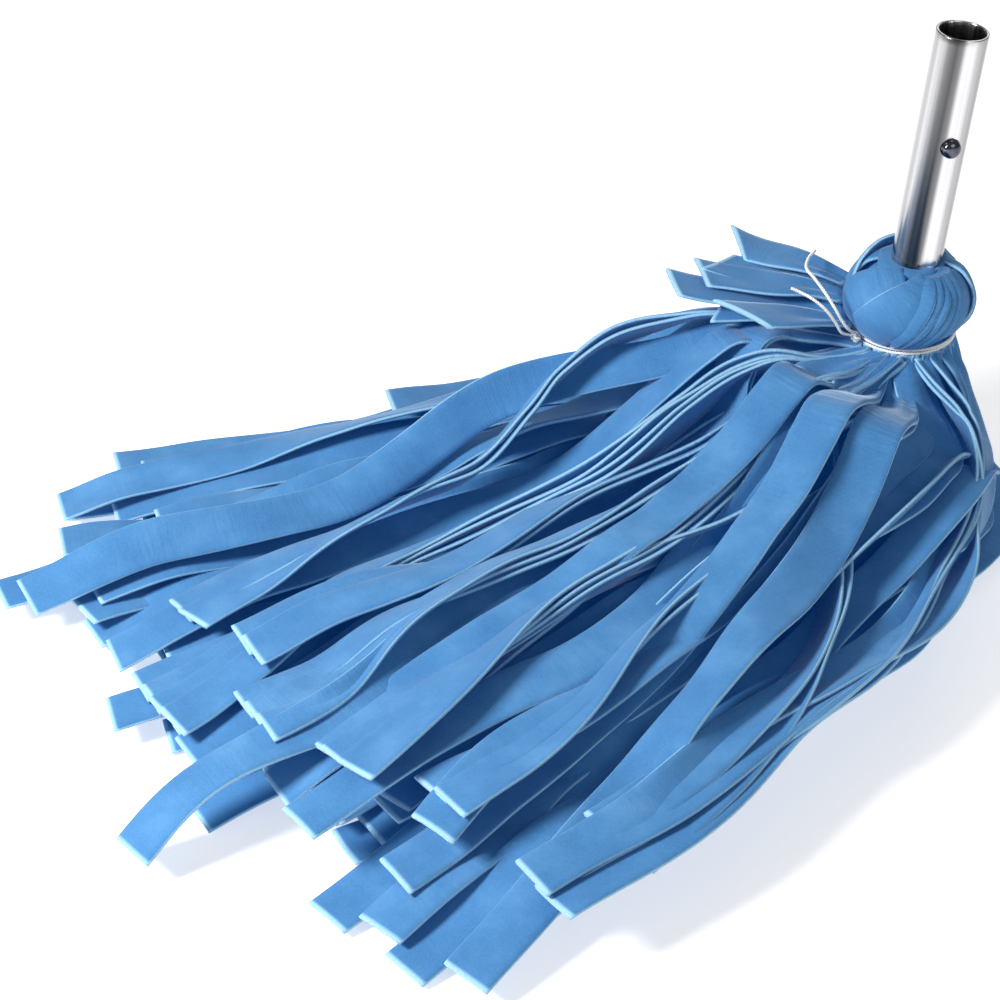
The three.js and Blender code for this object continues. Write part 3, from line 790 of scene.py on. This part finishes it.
GUIDED = [
    # The trailing leaves, on edge
    (4, [(-20, -13, 91, 10), (-48, -20, 84, 30), (-85, -32, 70, 60), (-112, -50, 56, 66),
     (-154, -76, 42, 58), (-205, -98, 32, 46), (-270, -130, 22, 26), (-342, -172, 9, 6),
     (-404, -210, 3, 0)]),
    # The strip that arches out of the tie and drops steeply into the heap
    (2, [(-21, -10, 92, 0), (-40, -4, 93, 0), (-58, -3, 91, 8), (-78, -15, 84, 16), (-87, -29, 66, 26),
     (-92, -41, 50, 36), (-104, -54, 40, 45), (-132, -74, 32, 40), (-180, -102, 24, 24),
     (-250, -140, 14, 10), (-335, -184, 5, 0)]),
    (3, [(-16, -17, 91, 10), (-38, -34, 84, 30), (-70, -60, 64, 56), (-98, -86, 49, 62),
     (-140, -112, 36, 54), (-200, -148, 26, 40), (-262, -190, 18, 20), (-335, -232, 6, 4)]),
    # The pair that arches over at the left and dips again
    (2, [(-23, -4, 92, 0), (-60, 6, 93, 20), (-112, 8, 92, 36), (-152, 0, 84, 48), (-174, -16, 70, 56),
     (-188, -34, 54, 58), (-214, -58, 38, 50), (-256, -80, 28, 40), (-310, -108, 18, 20),
     (-372, -150, 6, 4)]),
    # The wide bright strip at the left
    (1, [(-22, 3, 92, 0), (-60, 8, 88, -6), (-103, -4, 74, -20), (-142, -8, 62, -34),
     (-186, -16, 48, -40), (-253, -42, 30, -38), (-351, -88, 15, -32), (-436, -124, 5, -14)]),
    # Front strips that face the light, with others on edge between them
    (1, [(-14, -19, 91, 0), (-38, -38, 84, -2), (-67, -61, 70, -14), (-94, -84, 52, -30),
     (-136, -114, 36, -24), (-203, -162, 24, -12), (-257, -214, 16, -4), (-306, -252, 9, 0),
     (-366, -298, 3, 0)]),
    (3, [(-14, -19, 91, 10), (-40, -44, 76, 36), (-68, -74, 58, 56), (-94, -104, 44, 62),
     (-128, -136, 33, 58), (-182, -182, 24, 44), (-236, -226, 16, 22), (-304, -276, 5, 2)]),
    (1, [(-12, -20, 91, 0), (-34, -42, 84, -2), (-60, -74, 68, -18), (-80, -104, 51, -36),
     (-104, -138, 36, -30), (-140, -176, 26, -16), (-190, -222, 18, -4), (-240, -262, 10, 2),
     (-300, -304, 3, 0)]),
    (2, [(-8, -22, 91, 10), (-32, -44, 78, 36), (-54, -80, 58, 54), (-70, -112, 43, 60),
     (-94, -148, 31, 56), (-134, -194, 22, 44), (-184, -244, 14, 22), (-244, -292, 5, 2)]),
    (1, [(-13, -20, 91, 0), (-34, -28, 90, -4), (-50, -44, 82, -14), (-57, -64, 69, -32),
     (-60, -92, 53, -50), (-66, -118, 42, -46), (-80, -142, 33, -34), (-104, -168, 27, -22),
     (-150, -212, 19, -8), (-196, -258, 12, 0), (-240, -316, 4, 0)]),
    (2, [(-6, -23, 91, 0), (-24, -36, 86, -20), (-36, -56, 72, -60), (-42, -84, 54, -84),
     (-46, -112, 39, -98), (-48, -142, 27, -108), (-54, -174, 19, -122), (-72, -212, 13, -146),
     (-114, -260, 8, -170), (-166, -312, 4, -180)]),
    # Strips that hang at the right, turn over and swing in along the floor
    (1, [(-2, -23, 91, 0), (0, -36, 83, -8), (6, -52, 66, -16), (9, -70, 48, -26), (4, -104, 28, -46),
     (-12, -146, 16, -52), (-42, -198, 11, -40), (-84, -244, 9, -22), (-132, -286, 7, -8),
     (-192, -330, 3, 0)]),
    (2, [(8, -22, 91, 0), (14, -32, 80, -40), (24, -46, 62, -74), (26, -70, 44, -96),
     (18, -102, 26, -116), (0, -140, 15, -132), (-34, -188, 11, -146), (-78, -236, 9, -160),
     (-134, -288, 6, -174), (-200, -338, 3, -180)]),
    (1, [(14, -18, 91, 0), (22, -28, 79, -34), (31, -40, 61, -62), (34, -62, 45, -84),
     (28, -92, 28, -104), (14, -124, 16, -122), (-14, -164, 11, -140), (-56, -212, 9, -158),
     (-106, -258, 6, -172), (-164, -304, 3, -180)]),
    # Strips that close the waist at the back and run round behind the heap
    (1, [(4, 23.5, 91, 0), (6, 31, 78, 4), (7, 39, 56, 8), (2, 47, 32, 12), (-18, 56, 16, 8),
     (-56, 66, 9, 0), (-114, 72, 6, 0), (-192, 66, 4, 0), (-262, 40, 3, 0)]),
    (1, [(15, 18, 91, 0), (20, 24, 76, -6), (25, 31, 54, -10), (22, 41, 30, -8), (4, 56, 14, 0),
     (-36, 70, 8, 4), (-96, 78, 5, 0), (-166, 76, 3, 0)]),
    (1, [(22, 8, 91, 0), (26, 10, 76, 6), (30, 15, 52, 10), (31, 26, 28, 8), (23, 44, 12, 2),
     (-10, 64, 7, 0), (-66, 82, 4, 0), (-128, 84, 3, 0)]),
    (1, [(23, -4, 91, 0), (27, -5, 77, -4), (31, -6, 54, -8), (33, 2, 30, -6), (31, 22, 13, 0),
     (16, 48, 6, 0), (-24, 72, 4, 0), (-80, 86, 3, 0)]),
    (1, [(19, -13, 91, 0), (27, -19, 79, -22), (34, -28, 62, -46), (37, -50, 46, -62), (34, -80, 30, -80),
     (24, -110, 17, -100), (2, -148, 11, -124), (-34, -188, 9, -146), (-86, -232, 7, -166),
     (-146, -284, 3, -180)]),
]


def guided_frame(pages, route, rng):
    """Line, width direction and width along a route, which wanders a little on its way."""
    route = np.array(route, float)
    points, roll = resample(route[:, :3], STEP, route[:, 3])
    exit_azimuth = exit_of(points)
    run = lengths(points)
    loose = smooth((run - 70) / 90) * smooth((run[-1] - run) / 120)
    level = unit(np.cross(UP, np.gradient(points, axis=0)) + [1e-6, 0, 0])
    points = points + level * (loose * waves(rng, run, 5, 210))[:, None]
    roll = roll + loose * waves(rng, run, 20 if pages == 1 else 6, 230)
    width = 15 + (STRIP_WIDTH - 15) * smooth(run / 45)
    return points, rolled(points, exit_azimuth, roll), width, run


def guided_ribbons(pages, route, rng):
    """Strips that lie together like pages, and fan out towards their cut ends."""
    points, across, width, run = guided_frame(pages, route, rng)
    normal = unit(np.cross(heading(points), across))
    side = unit(np.cross(UP, np.gradient(points, axis=0)))
    spread = smooth(run / 120) * 3.4
    fan = smooth((run - 0.55 * run[-1]) / (0.4 * run[-1])) * 14
    ribbons = []
    for page in range(pages):
        shifted = points + normal * (page * spread)[:, None] + side * (fan * page)[:, None]
        stop = len(run) - int(page * 3 + rng.uniform(0, 6))
        ribbon = Ribbon(shifted[:stop], across[:stop], width[:stop])
        finish_strip(ribbon, rng, run[:stop], 1.0, 0.9)
        ribbons.append(ribbon)
    shortest = min(len(ribbon.centre) for ribbon in ribbons)
    for ribbon in ribbons:
        ribbon.trim(shortest)
    return ribbons


def guided_strips():
    for number, (pages, route) in enumerate(GUIDED, 1):
        ribbons = guided_ribbons(pages, route, random.Random(100 + number))
        lay(ribbons, most=12)
        for page, ribbon in enumerate(ribbons):
            piece = ribbon.build(f"top_strip_{number:02d}{'abcd'[page]}", 50 + 4 * number + page)
            blend_strip(piece, ribbon)
            declare_strip(ribbon)


# ---- Short strip ends over the tie's trailing side


def short_ends():
    cuts = [-3, 11, -7, 4, 9]
    for ply in range(5):
        node = f"short_end_{ply + 1}"
        centre, across, width = node_rings(node)
        line, side, wide = resample(centre, STEP, across, width)
        run = lengths(line)
        rng = random.Random(40 + ply)
        line[:, 2] -= max(line[-1, 2] - 117, 0) * 0.8 * smooth(run / run[-1]) ** 1.5
        ribbon = Ribbon(line, side, wide)
        ribbon.camber = waves(rng, run, 0.7, 80)
        ribbon.pleat = 1.0 * smooth(1 - run / 45)
        ribbon.ripple = waves(rng, run, 0.6, 60) * smooth(run / 30)
        ribbon.cut = [0, cuts[ply]]
        piece = ribbon.build(f"short_strip_{ply + 1}", 30 + ply)
        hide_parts(node)
        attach(piece, "head")
        declare_strip(ribbon)


def tucked_ends():
    """Two more short ends, tucked in under the others."""
    routes = [
        [(-21, 9, 98), (-30, 13, 106), (-44, 18, 110.5), (-62, 25, 112), (-82, 31, 110)],
        [(-23, 1, 98), (-31, 1, 104), (-44, 1, 106), (-64, 1, 106.5), (-92, 2, 105)],
    ]
    for number, route in enumerate(routes, 6):
        line = resample(np.array(route, float), 2.5)[0]
        run = lengths(line)
        ribbon = Ribbon(line, rolled(line, 170, np.full(len(line), -8.0)), 13 + 11 * smooth(run / 30))
        ribbon.camber = waves(random.Random(number), run, 0.7, 60)
        ribbon.cut = [0, 6]
        piece = ribbon.build(f"short_strip_{number}", number)
        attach(piece, "head")
        declare_strip(ribbon)


# ---- The knot: a soft ball wrapped in strips

BALL_RADIUS = 28.2
BALL_RISE = 22.4
BALL_CENTRE = 112.8


def on_ball(azimuth, latitude, proud=0.0):
    """A point on the knot, and the outward direction there."""
    lat = math.radians(latitude)
    flat = direction(azimuth) * math.cos(lat)
    out = unit(flat * BALL_RISE + UP * math.sin(lat) * BALL_RADIUS)
    point = flat * BALL_RADIUS + UP * (BALL_CENTRE + BALL_RISE * math.sin(lat))
    return point + out * proud, out


ENDS = [16, 24, 23, 13, 8]

# The wide wraps: width at each point, and route as (azimuth, latitude, how proud it stands)
WRAPS = {
    "knot_back_1": (ENDS, [(30, -42, 0.6), (48, -12, 1.6), (62, 20, 2), (74, 46, 2), (80, 61, 1)]),
    "knot_back_2": (ENDS, [(95, -42, 0.6), (82, -12, 2.4), (74, 18, 2.8), (66, 46, 2.6), (60, 61, 1)]),
    "knot_back_3": (ENDS, [(140, -42, 0.6), (126, -12, 2), (114, 18, 2.4), (104, 46, 2.2), (98, 61, 1)]),
    "knot_left_1": (ENDS, [(172, -42, 0.6), (164, -12, 1.8), (158, 18, 2), (152, 46, 1.8), (148, 61, 0.8)]),
    "knot_left_2": ([15, 24, 24, 20, 11],
                    [(186, -43, 0.6), (192, -14, 2.6), (202, 14, 3.2), (222, 38, 3), (252, 55, 1.4)]),
    "knot_right_1": (ENDS, [(352, -43, 0.6), (356, -12, 1.8), (2, 18, 2), (10, 46, 1.8), (16, 61, 0.8)]),
    "knot_right_2": ([18, 24, 24, 17, 9],
                     [(308, -43, 0.6), (316, -14, 2.4), (322, 14, 2.8), (322, 40, 2.6), (314, 60, 1)]),
    "knot_front_1": ([14, 23, 24, 21, 11],
                     [(212, -44, 1.8), (224, -22, 4), (240, 2, 4.4), (262, 27, 4), (286, 50, 2.6)]),
}


def wrap(name, seed, width, route, puff=0.4, tilt=0):
    """A strip that hugs the ball. Puff is how far it bulges, and tilt lifts one edge."""
    points, outs = zip(*(on_ball(*row) for row in route))
    line, out, wide = resample(np.array(points), 2.0, np.array(outs), np.array(width, float))
    out = unit(out)
    sagitta = wide ** 2 / (8 * BALL_RADIUS)
    tangent = heading(line)
    across = unit(np.cross(out, tangent))
    lean = math.radians(tilt) * np.sin(math.pi * np.linspace(0.08, 0.92, len(line)))[:, None]
    ribbon = Ribbon(line - out * sagitta[:, None], across * np.cos(lean) + out * np.sin(lean), wide)
    # The wraps' ends get no painted highlight
    ribbon.highlight_ends = False
    ribbon.camber = sagitta + puff
    ribbon.ripple = waves(random.Random(seed), lengths(line), 0.4, 30)
    piece = ribbon.build(name, seed)
    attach(piece, "head")
    return piece


def lathe(name, profile, material, segments=96, ripple=None):
    """A turned shape round the knot's axis; ripple(azimuth, row) adds to the radius."""
    points = []
    for row, (radius, height) in enumerate(profile):
        for i in range(segments):
            azimuth = 360 * i / segments
            extra = ripple(azimuth, row) if ripple else 0.0
            points.append(direction(azimuth) * max(radius + extra, 0.01) + UP * height)
    faces = []
    for row in range(len(profile) - 1):
        for i in range(segments):
            k = (i + 1) % segments
            a, b = row * segments + i, row * segments + k
            faces.append((a, b, b + segments, a + segments))
    faces.append(tuple(range(segments))[::-1])
    last = (len(profile) - 1) * segments
    faces.append(tuple(last + i for i in range(segments)))
    return mesh_object(name, points, faces, material)


def cloth_marks(piece):
    """A lathed cloth piece has no cut edges; its bend marks its gathers."""
    mesh = piece.data
    count = len(mesh.vertices)
    # No painted edge highlight on lathed pieces
    store(mesh, "edge_highlight_mask", np.zeros(count))
    store(mesh, "bend", np.full(count, 0.5))
    layer = mesh.uv_layers.new(name="cloth")
    for loop in mesh.loops:
        co = mesh.vertices[loop.vertex_index].co
        layer.data[loop.index].uv = (co.z, co.x + co.y)


def knot_core():
    """The ball of folded strips under the wraps."""
    profile = []
    for latitude in range(-44, 58, 6):
        point = on_ball(0, latitude, -1.6)[0]
        profile.append((point[0], point[2]))
    profile += [(16.5, 134.0), (13.2, 134.5)]

    def folds(azimuth, row):
        return 0.5 * math.sin(math.radians(azimuth * 7 + row * 9))

    core = lathe("knot_core", profile, CLOTH, ripple=folds)
    cloth_marks(core)
    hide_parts("knot_wrap_back", "knot_wrap_left", "knot_wrap_front", "knot_wrap_right")
    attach(core, "head")


def wraps():
    """The strips round the knot: wide wraps, a fan of pleats on edge, and two loose loops."""
    for seed, (name, (width, route)) in enumerate(WRAPS.items(), 60):
        wrap(name, seed, width, route)
    for pleat in range(5):
        route = [(240 + 3 * pleat, -43, 1.4), (252 + 5.5 * pleat, -20, 3.8), (266 + 7 * pleat, 4, 4.8),
                 (279 + 8 * pleat, 28, 4.6), (290 + 8 * pleat, 52, 2.8)]
        wrap(f"knot_pleat_{pleat + 1}", 70 + pleat, [5.5, 8.5, 10.6, 9, 6], route, puff=0.7, tilt=-36)
    right = [(326, -36, 0.8), (340, -10, 2.6), (350, 14, 3.4), (356, 38, 4.2), (0, 58, 2.4)]
    wrap("knot_loop_right", 80, [11, 15, 16, 14, 10], right, tilt=24)
    back = [(176, 10, 1), (160, 36, 2), (128, 52, 2.6), (90, 56, 2.8), (50, 50, 2.8), (16, 38, 2.2)]
    wrap("knot_loop_back", 81, [11, 14, 15, 15, 14, 11], back, tilt=-46)


def waist():
    """The gathered strips between the tie and the heap."""
    profile = [(3, 43.5), (12, 46.5), (18.5, 52), (22, 60), (22.8, 68), (22.6, 76), (22.8, 84), (23.2, 90),
               (23.4, 94), (22.6, 99), (21.5, 103)]

    def gathers(azimuth, row):
        a = math.radians(azimuth)
        return 0.9 * math.sin(23 * a + 0.3 * row) + 0.6 * math.sin(11 * a - 0.2 * row)

    piece = lathe("gathered_waist", profile, CLOTH, 192, gathers)
    cloth_marks(piece)
    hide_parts("folded_bundle")
    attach(piece, "head")


# ---- Tube, button and spring

LEANT = Matrix.Translation(place([0, 0, TUBE_FOOT])) @ Matrix.Rotation(TUBE_LEAN, 4, "Y")


def leant_lathe(name, profile, material, segments, turn=Matrix.Identity(4)):
    """A turned shape whose profile is (radius, height) in millimetres in the tube's own frame."""
    work = bmesh.new()
    rows = []
    for radius, height in profile:
        row = []
        for i in range(segments):
            a = 2 * math.pi * i / segments
            point = Vector((radius * math.cos(a), radius * math.sin(a), height)) * MM
            row.append(work.verts.new(LEANT @ (turn @ point)))
        rows.append(row)
    closed = profile[0] == profile[-1]
    if closed:
        rows = [*rows[:-1], rows[0]]
    for low, high in zip(rows[:-1], rows[1:]):
        for i in range(segments):
            k = (i + 1) % segments
            work.faces.new((low[i], low[k], high[k], high[i]))
    if not closed:
        work.faces.new(rows[0][::-1])
        work.faces.new(rows[-1])
    for vert in [v for v in work.verts if not v.link_faces]:
        work.verts.remove(vert)
    bmesh.ops.recalc_face_normals(work, faces=work.faces)
    mesh = bpy.data.meshes.new(name)
    work.to_mesh(mesh)
    work.free()
    mesh.materials.append(material)
    mesh.polygons.foreach_set("use_smooth", [True] * len(mesh.polygons))
    return add_object(name, mesh)


def towards_button():
    """Turns a profile's height into the distance from the tube's axis along the button's."""
    out = Vector(direction(BUTTON_AZIMUTH))
    return Matrix.Translation((0, 0, BUTTON_HEIGHT * MM)) @ out.to_track_quat("Z", "Y").to_matrix().to_4x4()


def apply_modifiers(thing):
    graph = bpy.context.evaluated_depsgraph_get()
    mesh = bpy.data.meshes.new_from_object(thing.evaluated_get(graph))
    thing.modifiers.clear()
    thing.data = mesh


def soften_edges(thing, width):
    bevel = thing.modifiers.new("edges", "BEVEL")
    bevel.width = width * MM
    bevel.segments = 2
    bevel.limit_method = "ANGLE"
    return bevel


def drill_button_hole(piece):
    drill = leant_lathe("drill", [(HOLE_RADIUS, 2), (HOLE_RADIUS, 20)], TUBE_METAL, 48, towards_button())
    cut = piece.modifiers.new("button_hole", "BOOLEAN")
    cut.operation = "DIFFERENCE"
    cut.object = drill
    cut.solver = "EXACT"
    return drill


def tube():
    outer, bore, length = TUBE_RADIUS, BORE_RADIUS, TUBE_LENGTH
    profile = [(bore + 0.3, 0), (bore, 0.4)]
    profile += [(bore, h) for h in (40, 80, 92, 108, 130, 151)]
    profile += [(bore, length - 0.5), (bore + 0.15, length - 0.12), (bore + 0.5, length)]
    profile += [(outer - 0.5, length), (outer - 0.15, length - 0.12), (outer, length - 0.5)]
    profile += [(outer, h) for h in (151, 130, 108, 92, 80, 40, 4)]
    profile += [(outer, 3), (BEAD_RADIUS, 1.8), (BEAD_RADIUS, 0.6), (BEAD_RADIUS - 0.4, 0)]
    profile.append(profile[0])
    piece = leant_lathe("polished_tube", profile, TUBE_METAL, 128)
    drill = drill_button_hole(piece)
    bevel = soften_edges(piece, 0.18)
    bevel.angle_limit = math.radians(50)
    bevel.harden_normals = True
    apply_modifiers(piece)
    bpy.data.objects.remove(drill)
    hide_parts("socket_tube")
    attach(piece, "head")


def button():
    shoulder = 14.0
    profile = [(5.8, 7.7), (5.8, 8.7), (BUTTON_RADIUS, 8.72), (BUTTON_RADIUS, shoulder)]
    for angle in range(10, 90, 10):
        a = math.radians(angle)
        profile.append((BUTTON_RADIUS * math.cos(a), shoulder + 2.65 * math.sin(a)))
    profile.append((0.05, 16.66))
    piece = leant_lathe("button_dome", profile, BUTTON_STEEL, 64, towards_button())
    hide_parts("snap_button")
    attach(piece, "button")


def leaf_spring():
    """The leaf spring, copied from the CAD part with softened edges; its back leg stays against the bore, and
    its front leg stays put, not moving with the button.
    """
    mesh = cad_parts["leaf_spring"].data.copy()
    mesh.materials.clear()
    mesh.materials.append(SPRING_STEEL)
    piece = add_object("leaf", mesh)
    soften_edges(piece, 0.2)
    apply_modifiers(piece)
    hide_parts("leaf_spring")
    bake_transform(piece)


def dress_cad_node(name, material, bevel):
    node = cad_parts[name]
    node.data.materials.clear()
    node.data.materials.append(material)
    soften_edges(node, bevel)


# ---- Twine


STRAND_SIDES = 8


def untwisted_sides(tangent):
    """A direction square to each tangent, carried along without twist."""
    side = unit(np.cross(tangent[0], UP + 0.01))
    sides = []
    for t in tangent:
        side = unit(side - t * np.dot(side, t))
        sides.append(side)
    return np.array(sides)


def strand_faces(count, base, closed):
    """The faces of one strand with count stations, whose points are numbered from base."""
    faces = []
    for i in range(count if closed else count - 1):
        here = base + i * STRAND_SIDES
        there = base + (i + 1) % count * STRAND_SIDES
        for j in range(STRAND_SIDES):
            k = (j + 1) % STRAND_SIDES
            faces.append((here + j, here + k, there + k, there + j))
    if not closed:
        last = base + (count - 1) * STRAND_SIDES
        faces.append(tuple(base + j for j in range(STRAND_SIDES))[::-1])
        faces.append(tuple(last + j for j in range(STRAND_SIDES)))
    return faces


def twisted(name, path, radius, plies=3, pitch=4.6, closed=False):
    """Strands laid round a path, in millimetres."""
    line = np.array(path, float)
    tangent = heading(line)
    if closed:
        tangent = unit(np.roll(line, -1, 0) - np.roll(line, 1, 0))
    sides = untwisted_sides(tangent)
    third = np.cross(tangent, sides)
    run = lengths(line)
    total = run[-1] + (np.linalg.norm(line[0] - line[-1]) if closed else 0)
    turns = round(total / pitch) if closed else total / pitch
    strand = radius * 0.55
    angles = [2 * math.pi * j / STRAND_SIDES for j in range(STRAND_SIDES)]
    points, faces = [], []
    for ply in range(plies):
        phase = 2 * math.pi * (run / total * turns + ply / plies)
        offset = np.cos(phase)[:, None] * sides + np.sin(phase)[:, None] * third
        middle = line + offset * (radius - strand)
        faces += strand_faces(len(middle), len(points), closed)
        for centre, side, out in zip(middle, sides, third):
            points += [centre + strand * (math.cos(a) * side + math.sin(a) * out) for a in angles]
    piece = mesh_object(name, points, faces, TWINE)
    return piece


TAIL_ROUTES = [
    [(-29.2, -16.3, 99.5), (-33.5, -18.5, 102), (-37.5, -19.5, 108.5), (-43, -19.5, 116), (-49, -17.5, 120.5),
     (-55, -15, 123), (-60, -14, 125)],
    [(-27.5, -17, 101.2), (-31, -19.5, 105), (-34.5, -20, 110), (-38, -19.5, 116), (-43, -13, 122),
     (-47, -3, 124), (-50, 9, 124), (-48, 17, 124.5), (-44, 24, 125)],
]
TWINE_RADIUS = 0.85


def tails():
    for number, route in enumerate(TAIL_ROUTES, 1):
        line = resample(np.array(route, float), 0.5)[0]
        piece = twisted(f"twine_end_{number}", line, TWINE_RADIUS)
        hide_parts(f"twine_tail_{number}")
        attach(piece, "head")


def tie():
    """Two turns of twine round the waist."""
    for number, height in enumerate((94.6, 96.1), 1):
        ring = []
        for azimuth in np.arange(0, 360, 1.2):
            radius = 25.8 + 0.15 * math.sin(math.radians(3 * azimuth))
            level = height + 0.4 * math.sin(math.radians(azimuth + 90 * number))
            ring.append(direction(azimuth) * radius + UP * level)
        piece = twisted(f"twine_loop{'' if number == 1 else '_b'}", ring, 0.75, closed=True)
        if number == 1:
            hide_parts("twine_tie")
        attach(piece, "head")


def twine_knot():
    """Three small loops that cross each other, where the tie's two tails come out."""
    out, left = direction(209), direction(299)
    centre = out * 29.6 + UP * 97.4
    loops = [(2.4, 1.9, 0.0), (2.0, 2.3, 62.0), (2.3, 1.7, 118.0)]
    for number, (wide, tall, tilt) in enumerate(loops, 1):
        t = math.radians(tilt)
        wide_axis = left * math.cos(t) + UP * math.sin(t)
        tall_axis = out * 0.85 + UP * 0.3 * math.cos(t)
        ring = [centre + wide_axis * wide * math.cos(a) + tall_axis * tall * math.sin(a)
                for a in np.arange(0, 2 * math.pi, 0.12)]
        piece = twisted(f"twine_knot_{number}", ring, 0.8, closed=True)
        if number == 1:
            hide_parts("twine_knot")
        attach(piece, "head")


# ---- The scene

make_camera()
tails()
make_floor()
make_lights()
skirt()
guided_strips()
short_ends()
tucked_ends()
knot_core()
wraps()
waist()
tube()
button()
tie()
twine_knot()
leaf_spring()
dress_cad_node("inner_twine_binding", TWINE, 0.15)
